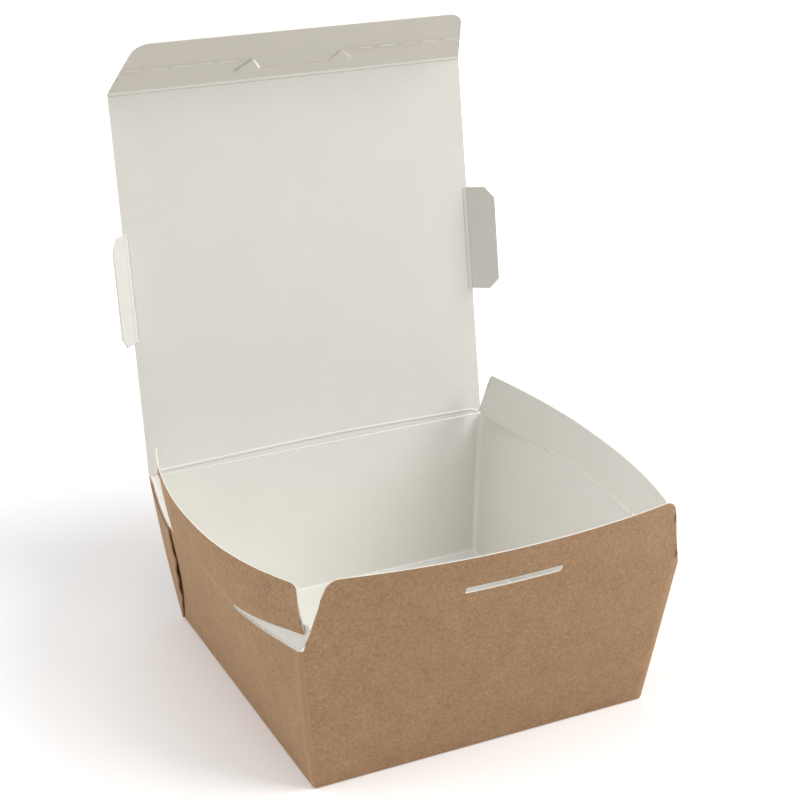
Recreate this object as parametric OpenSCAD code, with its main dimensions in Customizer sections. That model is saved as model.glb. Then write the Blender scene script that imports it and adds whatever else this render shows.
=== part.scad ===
// Takeaway box folded from one sheet of board, shown open.
// Origin at the centre of the base's underside, +X right along the front wall, +Y to the back.

/* [Tray] */
// Width of the base, left to right
base_w = 125; // [90:1:170]
// Depth of the base, front to back
base_d = 125; // [100:1:170]
// Height of the creases at the top of the side walls
rim_h = 58; // [45:0.5:75]
// How far each side wall leans out at its crease
side_flare = 7; // [4:0.5:12]
// How far the front wall leans out at the height of the side creases
front_flare = 8; // [4:0.5:12]
// How far the back wall leans out at the height of the side creases
back_flare = 10; // [4:0.5:14]
// How far each side wall bows out at the middle of its crease
side_bow = 8.2; // [1:0.1:10]
// How far the front wall bows out in the middle, at the height of the side creases
front_bow = 5; // [0:0.5:6]
// Thickness of the board
board = 0.45; // [0.35:0.05:0.7]

/* [Front wall] */
// Height of the front wall's top edge
front_h = 82; // [76:0.5:95]
// Width of the front wall's top edge before its corners are rounded
front_top_w = 125; // [90:1:135]
// Radius of the front wall's top corners
front_corner_r = 5; // [2:0.5:8]
// Length of the lock slot
lock_slot_l = 35; // [30:1:50]
// Height of the lock slot
lock_slot_h = 2.2; // [1.5:0.1:4]
// Depth of the lock slot's middle below the top edge
lock_slot_drop = 12.5; // [8:0.5:16]

/* [Side flaps] */
// Height of a side flap above its crease
flap_h = 18; // [12:0.5:24]
// Length of the crease that joins a side flap to its wall
flap_root_l = 60; // [40:1:80]
// Place of that crease's middle along the wall, back from the tray's middle
flap_root_y = -5; // [-10:1:10]
// Length of a side flap at its widest, above the slots
flap_l = 134; // [120:1:136]
// Length of a side flap's top edge
flap_top_l = 126; // [90:1:130]
// Opening of a corner slot at its wide end
slot_open = 1.5; // [1:0.5:6]
// Radius of a side flap's top corners
flap_corner_r = 1.5; // [0.5:0.5:4]
// Lean of the left flap outwards from upright
left_flap_lean = 11; // [-20:1:60]
// Lean of the right flap outwards from upright
right_flap_lean = 4; // [-20:1:60]

/* [Lid] */
// Height of the lid's hinge crease
hinge_h = 56.5; // [44:0.5:75]
// Width of the lid
lid_w = 139.5; // [120:0.5:140]
// Length of the lid from hinge to front fold
lid_l = 141; // [125:0.5:150]
// Angle of the open lid above the horizontal, at the back
lid_angle = 80.8; // [60:0.1:110]
// Depth of the front flap's first strip
strip_d = 11.5; // [9:0.5:16]
// Depth of the front flap's outer strip
tuck_d = 13.5; // [10:0.5:24]
// How much narrower each end of the front flap is at its outer edge
flap_taper = 6.7; // [1:0.1:9]
// Radius of the front flap's outer corners
tuck_corner_r = 7; // [2:0.5:9]
// Bend of the front flap towards the tray, from the lid's plane
strip_bend = 47; // [0:1:80]

/* [Lock tongue] */
// Width of the lock tongue where it joins the outer strip
tongue_w = 34; // [20:1:34]
// Depth of the lock tongue
tongue_d = 5.7; // [4:0.1:7.5]
// How much narrower each side of the tongue is at its end
tongue_taper = 4; // [1:0.1:6]
// Radius of the tongue's corners
tongue_corner_r = 1.5; // [0.5:0.25:2.5]
// How far each relief slit runs out beside the tongue
slit_run = 5; // [2:0.5:8]
// Width of a cut through the board
cut_w = 0.4; // [0.3:0.05:0.6]

/* [Ears] */
// Length of an ear along the lid's side
ear_l = 40; // [20:1:60]
// Depth of an ear from its crease
ear_d = 11.8; // [8:0.1:14]
// Distance from the lid's hinge to an ear
ear_from = 51; // [30:1:70]
// Size of an ear's corner cuts
ear_chamfer = 4; // [1:0.5:6]
// Distance of an ear's crease from the lid's side edge
ear_inset = 0.75; // [0.5:0.05:2]
// Bend of the ears towards the tray, from the lid's plane
ear_bend = 46; // [0:1:80]

/* [Creases and webs] */
// Radius of the rolled board along a crease
crease_r = 0.4; // [0.35:0.05:0.6]
// Distance from a crease's axis to the edge of the board beside it
crease_gap = 0.7; // [0.7:0.05:1]
// Length of a corner web along the side wall's rim
web_l = 46; // [20:1:50]
// Drop of a web's top edge below the rim
web_drop = 1.5; // [1:0.5:5]

/* [Hidden] */

kraft = [0.62, 0.49, 0.37];
white = [0.88, 0.87, 0.83];

wall_steps = 16;
web_steps = 5;
mid_steps = 8;
web_tip = 0.02;
round_fn = 48;
corner_angles = [30, 60, 90];
overlap = 0.15;

wall_top = rim_h - crease_gap;
hinge_y = base_d / 2 + back_flare * hinge_h / rim_h;
side_axis_x = base_w / 2 + side_flare + side_bow - board / 2;
root_share = (flap_root_l + 2 * abs(flap_root_y)) / (base_d + front_flare + back_flare);
web_share = 2 * web_l / (base_d + front_flare + back_flare);
corner_curve = 1.5;

// Share of the full bow of a side wall at u, from -1 at its front edge to 1 at its back edge.
// The stretch that carries the flap stays straight and the ends curve in to the corners.
function side_shape(u) =
    abs(u) <= root_share ? 1 : 1 - pow((abs(u) - root_share) / (1 - root_share), corner_curve);

// Point on the right wall at u along it and height z, moved out by d; a corner is mitred by board_d
function side_point(u, z, d, board_d) =
    let (v = z / rim_h)
    let (y_front = -(base_d / 2 + front_flare * v))
    let (y_back = base_d / 2 + back_flare * v)
    [base_w / 2 + v * (side_flare + side_bow * side_shape(u)) + d,
     y_front + (y_back - y_front) * (u + 1) / 2 + board_d * u,
     z];

// Half width of the front wall at height z, with its rounded top corners
function front_half(z) =
    let (edge = z <= rim_h ? base_w / 2 + side_flare * z / rim_h
                           : base_w / 2 + side_flare
                             + (front_top_w / 2 - base_w / 2 - side_flare) * (z - rim_h) / (front_h - rim_h))
    let (into = max(0, (z - (front_h - front_corner_r)) / front_corner_r))
    edge - front_corner_r * (1 - sqrt(max(0, 1 - into * into)));

// Point on the front wall at u across it and height z, moved out by d
function front_point(u, z, d) =
    let (v = z / rim_h)
    let (bow = front_bow * v * (1 - u * u))
    let (side_out = z <= rim_h ? d : 0)
    [u * (front_half(z) + side_out),
     -(base_d / 2 + front_flare * v + bow + d),
     z];

// Point on the flat back wall at u across it and height z, moved out by d
function back_point(u, z, d) =
    [-u * (base_w / 2 + side_flare * z / rim_h + d), base_d / 2 + back_flare * z / rim_h + d, z];

// Rows of the walls from the base to the rim: share of the height, and 1 where the webs stand
tray_rows = concat([[0, 0], [0.03, 1]],
                   [for (share = [0.2, 0.4, 0.6, 0.8]) [share, 1]],
                   [[1 - (web_drop + board) / wall_top, 1], [1 - web_drop / wall_top, 0], [1, 0]]);

// Columns of a side wall from its front corner to its back corner at height z, each with its place
// and with 1 where it carries the front web inside and where it carries the back web outside.
// A web is a double layer, and its free edge runs from the base's corner up to the rim.
function side_columns(z) =
    let (wide = web_tip + web_share * z / rim_h)
    let (edge = 2 * board / base_d)
    let (inner_end = wide + edge)
    concat([for (i = [0 : web_steps]) [-1 + wide * i / web_steps, 1, 0]],
           [for (i = [0 : mid_steps]) [(1 - inner_end) * (-1 + 2 * i / mid_steps), 0, 0]],
           [for (i = [0 : web_steps]) [1 - wide * (web_steps - i) / web_steps, 0, 1]]);

// The right wall's part of a ring, from its front corner to its back corner.
// The back corner ends at the back wall's height.
function side_row(row, low, d) =
    let (z = low + row[0] * (wall_top - low))
    let (z_back = low + row[0] * (hinge_h - crease_gap - low))
    [for (c = side_columns(z))
        let (web = row[1] * 2 * board * (d < 0 ? -c[1] : c[2]))
        side_point(c[0], c[0] == 1 ? z_back : z, d + web, d)];

// One ring of points round the tray, anticlockwise from the front left corner
function tray_ring(row, low, d) =
    let (between = [for (i = [1 : wall_steps - 1]) -1 + 2 * i / wall_steps])
    let (z = low + row[0] * (wall_top - low))
    let (z_back = low + row[0] * (hinge_h - crease_gap - low))
    let (right = side_row(row, low, d))
    let (n = len(right))
    let (left = [for (p = right) [-p[0], p[1], p[2]]])
    concat([left[0]], [for (u = between) front_point(u, z, d)], right,
           [for (u = between) back_point(u, z_back, d)],
           [for (i = [n - 1 : -1 : 1]) left[i]]);

// Heights of the rows of the front wall above the rim
upper_rows = concat([for (share = [0.33, 0.67, 1]) wall_top + share * (front_h - front_corner_r - wall_top)],
                    [for (a = corner_angles) front_h - front_corner_r + front_corner_r * sin(a)]);

function upper_row(z, d) = [for (i = [0 : wall_steps]) front_point(-1 + 2 * i / wall_steps, z, d)];

function quad(a, b, c, d) = [[a, b, c], [a, c, d]];

function flat(list) = [for (group = list) for (item = group) item];

// Base, walls, corner webs and tall front wall as one folded shell, without its lock slot
module tray_shell() {
    outer = [for (row = tray_rows) tray_ring(row, 0, 0)];
    inner = [for (row = tray_rows) tray_ring(row, board, -board)];
    ring = len(outer[0]);
    levels = len(tray_rows);
    cols = wall_steps + 1;
    rows = len(upper_rows);
    points = concat(flat(outer), flat(inner),
                    flat([for (z = upper_rows) upper_row(z, 0)]),
                    flat([for (z = upper_rows) upper_row(z, -board)]),
                    [[0, 0, 0], [0, 0, board]]);
    upper = 2 * levels * ring;
    out_middle = upper + 2 * rows * cols;
    in_middle = out_middle + 1;
    // index of point k of the outer and of the inner ring at level j
    function o(j, k) = j * ring + k % ring;
    function n(j, k) = (levels + j) * ring + k % ring;
    // index of the front wall's outer and inner point in row j and column i, where row 0 is the rim
    function fo(j, i) = j == 0 ? o(levels - 1, i) : upper + (j - 1) * cols + i;
    function fi(j, i) = j == 0 ? n(levels - 1, i) : upper + (rows + j - 1) * cols + i;
    top = levels - 1;
    faces = concat(
        [for (k = [0 : ring - 1]) [out_middle, o(0, k), o(0, k + 1)]],
        [for (k = [0 : ring - 1]) [in_middle, n(0, k + 1), n(0, k)]],
        flat([for (j = [0 : top - 1], k = [0 : ring - 1])
            quad(o(j, k), o(j + 1, k), o(j + 1, k + 1), o(j, k + 1))]),
        flat([for (j = [0 : top - 1], k = [0 : ring - 1])
            quad(n(j, k + 1), n(j + 1, k + 1), n(j + 1, k), n(j, k))]),
        flat([for (k = [wall_steps : ring - 1])
            quad(o(top, k), n(top, k), n(top, k + 1), o(top, k + 1))]),
        flat([for (j = [0 : rows - 1], i = [0 : wall_steps - 1])
            quad(fo(j, i), fo(j + 1, i), fo(j + 1, i + 1), fo(j, i + 1))]),
        flat([for (j = [0 : rows - 1], i = [0 : wall_steps - 1])
            quad(fi(j, i + 1), fi(j + 1, i + 1), fi(j + 1, i), fi(j, i))]),
        flat([for (j = [0 : rows - 1]) quad(fi(j, 0), fi(j + 1, 0), fo(j + 1, 0), fo(j, 0))]),
        flat([for (j = [0 : rows - 1])
            quad(fo(j, wall_steps), fo(j + 1, wall_steps), fi(j + 1, wall_steps), fi(j, wall_steps))]),
        flat([for (i = [0 : wall_steps - 1])
            quad(fo(rows, i), fi(rows, i), fi(rows, i + 1), fo(rows, i + 1))]));
    polyhedron(points = points, faces = faces, convexity = 8);
}

module lock_slot() {
    half = lock_slot_l / 2 - lock_slot_h / 2;
    deep = base_d;
    translate([0, 0, front_h - lock_slot_drop])
        rotate([90, 0, 0])
            linear_extrude(height = deep)
                union() {
                    square([2 * half, lock_slot_h], center = true);
                    for (side = [-1, 1])
                        translate([side * half, 0])
                            circle(d = lock_slot_h, $fn = round_fn);
                }
}

module tray() {
    color(kraft)
        difference() {
            tray_shell();
            lock_slot();
        }
}

// Outline of a board panel as a polygon whose corners are rounded by a radius each
module rounded_outline(corners) {
    n = len(corners);
    function unit(v) = v / norm(v);
    points = flat([for (i = [0 : n - 1])
        let (p = corners[i])
        let (here = [p[0], p[1]])
        let (before = unit([corners[(i + n - 1) % n][0], corners[(i + n - 1) % n][1]] - here))
        let (after = unit([corners[(i + 1) % n][0], corners[(i + 1) % n][1]] - here))
        let (half = acos(before * after) / 2)
        p[2] == 0 ? [here] :
            let (centre = here + unit(before + after) * p[2] / sin(half))
            let (start = here + before * p[2] / tan(half) - centre)
            let (turn = sign(before[0] * after[1] - before[1] * after[0]) * -(180 - 2 * half))
            let (steps = 6)
            [for (k = [0 : steps]) let (a = turn * k / steps)
                centre + [start[0] * cos(a) - start[1] * sin(a), start[0] * sin(a) + start[1] * cos(a)]]]);
    polygon(points);
}

// Rolled board along a crease, on the hinge's axis
module crease(length) {
    rotate([0, 90, 0])
        cylinder(r = crease_r, h = length, center = true, $fn = round_fn);
}

module side_flap(lean) {
    root_front = flap_root_y - flap_root_l / 2;
    root_back = flap_root_y + flap_root_l / 2;
    wide = flap_l / 2;
    top = flap_top_l / 2;
    translate([side_axis_x, 0, rim_h])
        rotate([0, lean, 0]) {
            rotate([90, 0, 90])
                linear_extrude(height = board, center = true)
                    rounded_outline([[root_front, 0, 0], [-wide, slot_open, 0.5], [-top, flap_h, flap_corner_r],
                                     [top, flap_h, flap_corner_r], [wide, slot_open, 0.5], [root_back, 0, 0]]);
            translate([0, flap_root_y, 0])
                rotate([0, 0, 90])
                    crease(flap_root_l);
        }
}

module right_flap() {
    color(white)
        side_flap(right_flap_lean);
}

module left_flap() {
    color(kraft)
        mirror([1, 0, 0])
            side_flap(left_flap_lean);
}

// Everything on the lid is drawn flat, hinge on the X axis, inner face up, then stood on its hinge
module on_lid() {
    translate([0, hinge_y, hinge_h])
        rotate([lid_angle, 0, 0])
            children();
}

module on_strip() {
    on_lid()
        translate([0, lid_l, 0])
            rotate([strip_bend, 0, 0])
                children();
}

module lid() {
    half = lid_w / 2;
    notch = half - ear_inset - crease_gap;
    color(white)
        on_lid() {
            linear_extrude(height = board, center = true)
                difference() {
                    translate([-half, 0])
                        square([lid_w, lid_l - crease_gap]);
                    for (side = [-1, 1])
                        translate([side * (notch + half) / 2, ear_from + ear_l / 2])
                            square([half - notch + overlap, ear_l + 2 * cut_w], center = true);
                }
            crease(lid_w);
        }
}

// Outline of the tongue, grown by a clearance, with its root on the X axis
module tongue_outline(grow) {
    wide = tongue_w / 2 + grow;
    narrow = tongue_w / 2 - tongue_taper + grow;
    rounded_outline([[-wide, grow, 0], [-narrow, -tongue_d - grow, tongue_corner_r],
                     [narrow, -tongue_d - grow, tongue_corner_r], [wide, grow, 0]]);
}

// Relief slit that runs out and back towards the fold from the tongue's root
module relief_slit() {
    reach = norm([slit_run, tongue_d]);
    translate([tongue_w / 2, -crease_gap])
        rotate(-atan(tongue_d / slit_run))
            translate([0, -cut_w / 2])
                square([reach - crease_gap, cut_w]);
}

// Half width of the front flap at distance v from the fold
function flap_half(v) = lid_w / 2 - flap_taper * v / (strip_d + tuck_d);

module front_strip() {
    color(white)
        on_strip() {
            linear_extrude(height = board, center = true)
                difference() {
                    polygon([[-flap_half(0), 0], [flap_half(0), 0],
                             [flap_half(strip_d - crease_gap), strip_d - crease_gap],
                             [-flap_half(strip_d - crease_gap), strip_d - crease_gap]]);
                    translate([0, strip_d])
                        tongue_outline(cut_w);
                    for (side = [0, 1])
                        mirror([side, 0])
                            translate([0, strip_d])
                                relief_slit();
                }
            crease(lid_w);
        }
}

module tuck_strip() {
    near = flap_half(strip_d);
    far = flap_half(strip_d + tuck_d);
    color(white)
        on_strip()
            translate([0, strip_d, 0]) {
                linear_extrude(height = board, center = true)
                    union() {
                        rounded_outline([[-near, 0, 0], [near, 0, 0], [far, tuck_d, tuck_corner_r],
                                         [-far, tuck_d, tuck_corner_r]]);
                        tongue_outline(0);
                    }
                for (side = [-1, 1])
                    translate([side * (near + tongue_w / 2 + cut_w) / 2, 0, 0])
                        crease(near - tongue_w / 2 - cut_w);
            }
}

module ear() {
    on_lid()
        translate([lid_w / 2 - ear_inset, ear_from, 0])
            rotate([0, -ear_bend, 0]) {
                linear_extrude(height = board, center = true)
                    polygon([[0, 0], [ear_d - ear_chamfer, 0], [ear_d, ear_chamfer],
                             [ear_d, ear_l - ear_chamfer], [ear_d - ear_chamfer, ear_l], [0, ear_l]]);
                translate([0, ear_l / 2, 0])
                    rotate([0, 0, 90])
                        crease(ear_l);
            }
}

module right_ear() {
    color(white)
        ear();
}

module left_ear() {
    color(white)
        mirror([1, 0, 0])
            ear();
}

tray();
lid();
front_strip();
tuck_strip();
left_ear();
right_ear();
left_flap();
right_flap();
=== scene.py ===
import math

import bpy
import numpy as np
from mathutils import Matrix, Vector
from mathutils.geometry import delaunay_2d_cdt


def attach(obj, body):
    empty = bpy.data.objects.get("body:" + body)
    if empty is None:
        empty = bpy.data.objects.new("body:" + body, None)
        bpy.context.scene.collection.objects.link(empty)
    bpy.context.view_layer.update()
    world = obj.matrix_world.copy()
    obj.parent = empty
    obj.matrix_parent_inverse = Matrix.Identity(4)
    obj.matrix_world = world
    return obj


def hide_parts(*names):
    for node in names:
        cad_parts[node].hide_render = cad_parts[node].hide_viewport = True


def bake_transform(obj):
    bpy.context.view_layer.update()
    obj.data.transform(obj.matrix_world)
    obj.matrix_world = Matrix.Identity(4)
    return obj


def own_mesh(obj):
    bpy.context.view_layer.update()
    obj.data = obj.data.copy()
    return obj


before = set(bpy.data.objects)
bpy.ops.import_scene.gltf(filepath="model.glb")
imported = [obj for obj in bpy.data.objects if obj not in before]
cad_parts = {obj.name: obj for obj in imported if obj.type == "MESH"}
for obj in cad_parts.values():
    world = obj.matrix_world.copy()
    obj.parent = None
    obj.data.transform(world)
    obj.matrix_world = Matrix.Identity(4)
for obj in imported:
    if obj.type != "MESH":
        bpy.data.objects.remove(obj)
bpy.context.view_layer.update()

bl_info = {
    "name": "Takeaway box",
    "version": (1, 0, 0),
    "blender": (4, 5, 0),
    "location": "View3D > Sidebar > Takeaway box",
    "description": "Makes an open folded board takeaway box round the packed frame",
    "category": "Object",
}

# parts of a wall between its corner folds, and of a corner fold
WALL_STEPS, CORNER_STEPS = 44, 5
# parts of a side wall's height
WALL_ROWS = 26
# distance between the rows of points at a crease, and how far from the middle they reach
ROW_STEP, ROW_REACH = 0.00015, 0.0690
# length of the first strip's board before the fold
STRIP_LEAD = 0.0012
# width of the cut round the tongue, and reach of the relief slits beside it
CUT, SLIT = 0.0003, 0.0050


# sizes and colours

def metres(name, description, default, low, high):
    return bpy.props.FloatProperty(
        name=name, description=description, default=default, min=low, max=high, unit="LENGTH",
        precision=5)


def number(name, description, default, **kind):
    return bpy.props.FloatProperty(name=name, description=description, default=default, **kind)


def radians(name, description, default):
    return number(name, description, default, subtype="ANGLE")


def tint(name, description, default):
    return bpy.props.FloatVectorProperty(
        name=name, description=description, default=default, size=3, min=0, max=1, subtype="COLOR")


class BoardSettings(bpy.types.PropertyGroup):
    thickness: metres("Board", "Thickness of the board", 0.00045, 0.0003, 0.0008)
    step: metres("Mesh step", "Distance between the points of a panel's mesh", 0.0022, 0.001, 0.01)
    kraft: tint("Kraft", "Colour of the brown outer face", (0.462, 0.297, 0.176))
    white: tint("White", "Colour of the coated inner face", (0.80, 0.785, 0.74))
    cut_edge: tint("Cut edge", "Colour of the board's cut edges", (0.86, 0.82, 0.73))


class TraySettings(bpy.types.PropertyGroup):
    base: metres("Base", "Width and depth of the base", 0.125, 0.09, 0.17)
    rim: metres("Rim", "Height of the creases at the top of the side walls", 0.058, 0.045, 0.075)
    side_flare: metres("Side flare", "Lean of each side wall at its crease", 0.007, 0, 0.02)
    front_flare: metres("Front flare", "Lean of the front wall at the side creases", 0.008, 0, 0.02)
    back_flare: metres("Back flare", "Lean of the back wall at the side creases", 0.010, 0, 0.02)
    front_bow: metres("Front bow", "Bow of the front wall in its middle", 0.005, 0, 0.01)
    left_bow: metres("Left bow", "Bow of the left wall at its rim", 0.0082, 0, 0.01)
    right_bow: metres("Right bow", "Bow of the right wall at its rim", 0.0060, 0, 0.01)
    front_height: metres("Front height", "Height of the front wall's top edge", 0.082, 0.07, 0.1)
    front_top: metres("Front top", "Width of the front wall's top edge", 0.125, 0.09, 0.135)
    front_corner: metres("Front corner", "Radius of the front wall's corners", 0.005, 0.002, 0.01)
    slot_length: metres("Slot length", "Length of the lock slot", 0.035, 0.03, 0.05)
    slot_height: metres("Slot height", "Height of the lock slot", 0.0022, 0.001, 0.004)
    slot_drop: metres("Slot drop", "Depth of the lock slot below the top edge", 0.0125, 0.008, 0.016)
    slot_x: metres("Slot place", "Distance of the lock slot from the middle", 0.0008, -0.005, 0.005)
    front_lean: metres("Front lean", "How far right the front wall's top stands", 0.0013, -0.005, 0.005)
    crease: metres("Crease", "Depth of the walls' top edge below the creases", 0.0006, 0.0002, 0.001)
    fold: metres("Fold radius", "Radius of the rounded folds", 0.0009, 0.0004, 0.002)
    web: metres("Web length", "Length of a corner web along the rim", 0.046, 0.02, 0.05)
    web_rise: metres("Web rise", "Rise of a front web behind the slot", 0.0052, 0, 0.01)
    web_lift: metres("Web lift", "Gap under the free edge of a back web", 0.0011, 0, 0.003)


class FlapSettings(bpy.types.PropertyGroup):
    height: metres("Height", "Height of a side flap above its crease", 0.018, 0.01, 0.03)
    root: metres("Root", "Length of a side flap's crease", 0.060, 0.04, 0.08)
    root_y: metres("Root place", "Place of that crease's middle along the wall", -0.005, -0.01, 0.01)
    length: metres("Length", "Length of a side flap above the slots", 0.134, 0.1, 0.14)
    top: metres("Top", "Length of a side flap's top edge", 0.126, 0.09, 0.13)
    slot_open: metres("Back slot", "Opening of a back slot at its wide end", 0.0015, 0.001, 0.006)
    slot_front: metres("Front slot", "Opening of a front slot at its wide end", 0.0028, 0.001, 0.006)
    axis: metres("Axis", "Distance of a side flap's hinge from the middle", 0.077475, 0.07, 0.09)
    corner: metres("Corner", "Radius of a side flap's top corner at the back", 0.0015, 0.0005, 0.004)
    left_lean: radians("Left lean", "Lean of the left flap once it is flat", math.radians(11))
    right_lean: radians("Right lean", "Lean of the right flap once it is flat", math.radians(4))


class LidSettings(bpy.types.PropertyGroup):
    hinge: metres("Hinge", "Height of the lid's crease", 0.0565, 0.04, 0.08)
    width: metres("Width", "Width of the lid", 0.1395, 0.12, 0.15)
    length: metres("Length", "Length of the lid from hinge to fold", 0.141, 0.12, 0.16)
    strip: metres("Strip", "Depth of the front flap's first strip", 0.0115, 0.01, 0.03)
    tuck: metres("Tuck", "Depth of the front flap's outer strip", 0.0135, 0.01, 0.03)
    taper: metres("Taper", "How much narrower each end of the flap is at its edge", 0.0067, 0, 0.01)
    corner: metres("Corner", "Radius of the flap's outer corners", 0.007, 0.002, 0.01)
    tongue: metres("Tongue", "Width of the lock tongue", 0.034, 0.02, 0.05)
    tongue_depth: metres("Tongue depth", "Depth of the lock tongue", 0.0057, 0.004, 0.01)
    tongue_taper: metres("Tongue taper", "How much narrower a tongue side is at its end", 0.004, 0, 0.01)
    ear_depth: metres("Ear depth", "Depth of an ear from its crease", 0.0118, 0.005, 0.02)
    ear_length: metres("Ear length", "Length of an ear", 0.040, 0.02, 0.06)
    ear_from: metres("Ear place", "Distance from the hinge to an ear", 0.051, 0.03, 0.07)
    ear_inset: metres("Ear inset", "Distance from the lid's edge in to an ear", 0.0024, 0.001, 0.004)
    ear_cut: metres("Ear cut", "Size of an ear's corner cuts", 0.004, 0.001, 0.008)
    angle: radians("Angle", "Angle of the open lid", math.radians(80.8))
    strip_bend: radians("Strip bend", "Bend of the front flap", math.radians(47))
    ear_bend: radians("Ear bend", "Bend of the ears", math.radians(51))


class StageSettings(bpy.types.PropertyGroup):
    lens: number("Lens", "Focal length in millimetres", 81.9057, unit="CAMERA")
    azimuth: radians("Azimuth", "Camera's turn about the box", -0.451322)
    elevation: radians("Elevation", "Camera's height angle", 0.398434)
    roll: radians("Roll", "Camera's roll", -0.0016545)
    place: bpy.props.FloatVectorProperty(
        name="Place", description="Camera's place", default=(-0.25300, -0.51960, 0.34510), size=3,
        subtype="TRANSLATION")
    key: number("Key", "Power of the soft light at the front right", 15.5, unit="POWER")
    side: number("Side", "Power of the soft light at the left", 6.6, unit="POWER")
    top: number("Top", "Power of the soft light overhead", 5.2, unit="POWER")
    fill: number("Fill", "Strength of the even room light", 0.35, subtype="FACTOR")
    floor: tint("Floor", "Colour of the floor as it lights the box", (0.72, 0.67, 0.60))
    glow: number("Floor glow", "How much paler the floor is drawn", 0.15, subtype="FACTOR")


# materials

class Shader:
    """The node tree of a material or of the room, with short calls to add and join nodes."""

    def __init__(self, owner, kind="Principled BSDF"):
        owner.use_nodes = True
        self.tree = owner.node_tree
        self.shader = self.tree.nodes[kind]

    def add(self, kind, **values):
        node = self.tree.nodes.new(kind)
        for key, value in values.items():
            setattr(node, key, value)
        return node

    def join(self, output, socket):
        self.tree.links.new(output, socket)

    def feed(self, value, socket):
        """Joins an output to a socket, or sets the socket to a number or a colour."""
        if isinstance(value, bpy.types.NodeSocket):
            self.join(value, socket)
        else:
            socket.default_value = value if isinstance(value, (float, int)) else (*value, 1)

    def give(self, **values):
        """Joins or sets sockets of the shader itself; an underscore in a name stands for a space."""
        for name, value in values.items():
            self.feed(value, self.shader.inputs[name.replace("_", " ")])

    def noise(self, scale, detail, vector, roughness=0.6):
        node = self.add("ShaderNodeTexNoise")
        for name, value in (("Scale", scale), ("Detail", detail), ("Roughness", roughness)):
            node.inputs[name].default_value = value
        self.join(vector, node.inputs["Vector"])
        return node.outputs["Fac"]

    def stretched(self, scale):
        place = self.add("ShaderNodeTexCoord")
        mapping = self.add("ShaderNodeMapping")
        mapping.inputs["Scale"].default_value = scale
        self.join(place.outputs["Object"], mapping.inputs["Vector"])
        return mapping.outputs["Vector"]

    def ramp(self, factor, stops):
        """A colour ramp through (place, colour) stops."""
        node = self.add("ShaderNodeValToRGB")
        elements = node.color_ramp.elements
        for element, (place, colour) in zip((elements[0], elements[1]), (stops[0], stops[-1])):
            element.position, element.color = place, (*colour, 1)
        for place, colour in stops[1:-1]:
            elements.new(place).color = (*colour, 1)
        self.join(factor, node.inputs["Fac"])
        return node.outputs["Color"]

    def shades(self, factor, colour, *stops):
        """A ramp through shades of one colour; stops are (place, share of the colour)."""
        return self.ramp(factor, [(place, shade(colour, much)) for place, much in stops])

    def mix(self, factor, a, b, blend="MIX"):
        node = self.add("ShaderNodeMix", data_type="RGBA", blend_type=blend)
        for value, socket in ((factor, 0), (a, 6), (b, 7)):
            self.feed(value, node.inputs[socket])
        return node.outputs[2]

    def maths(self, operation, a, b=0.0):
        node = self.add("ShaderNodeMath", operation=operation)
        self.feed(a, node.inputs[0])
        self.feed(b, node.inputs[1])
        return node.outputs[0]

    def attribute(self, name):
        return self.add("ShaderNodeAttribute", attribute_name=name).outputs["Fac"]

    def seen(self):
        """1 for what the camera, a reflection or clear glass shows, and 0 for light."""
        path = self.add("ShaderNodeLightPath").outputs
        first = self.maths("MAXIMUM", path["Is Camera Ray"], path["Is Glossy Ray"])
        return self.maths("MAXIMUM", first, path["Is Transmission Ray"])

    def bump(self, height, strength, distance):
        node = self.add("ShaderNodeBump")
        node.inputs["Strength"].default_value = strength
        node.inputs["Distance"].default_value = distance
        self.join(height, node.inputs["Height"])
        self.give(Normal=node.outputs["Normal"])


def shade(colour, much):
    """A darker or paler shade of a colour."""
    return tuple(min(1.0, c * much) for c in colour)


def kraft_material(colour):
    """Uncoated brown board: mottled fibres with dark flecks, and a painted highlight that makes it paler
    along the creases.
    """
    s = Shader(bpy.data.materials.new("kraft_face"))
    fibres = s.noise(scale=1150, detail=5, vector=s.stretched((0.85, 1, 0.8)), roughness=0.8)
    cloud = s.noise(scale=110, detail=5, vector=s.stretched((1, 1, 1)), roughness=0.7)
    flecks = s.noise(scale=2400, detail=2, vector=s.stretched((0.45, 1, 1)), roughness=0.5)
    base = s.shades(fibres, colour, (0.30, 0.58), (0.50, 1), (0.70, 1.46))
    base = s.mix(0.38, base, s.shades(cloud, colour, (0.3, 0.80), (0.7, 1.20)))
    dark = s.ramp(flecks, [(0.60, (1, 1, 1)), (0.72, (0.80, 0.75, 0.70))])
    base = s.mix(0.7, base, dark, blend="MULTIPLY")
    # painted highlight: paler wherever the fold attribute marks a crease, whether above or below 0
    crease = s.maths("ABSOLUTE", s.attribute("fold"))
    base = s.mix(s.maths("MULTIPLY", crease, 0.45), base, shade(colour, 1.45))
    rough = s.shades(fibres, (1, 1, 1), (0.2, 0.92), (0.8, 0.78))
    s.give(Base_Color=base, Roughness=rough, Specular_IOR_Level=0.3)
    s.bump(s.maths("ADD", fibres, s.maths("MULTIPLY", flecks, 0.6)), strength=0.35, distance=0.00006)


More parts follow.
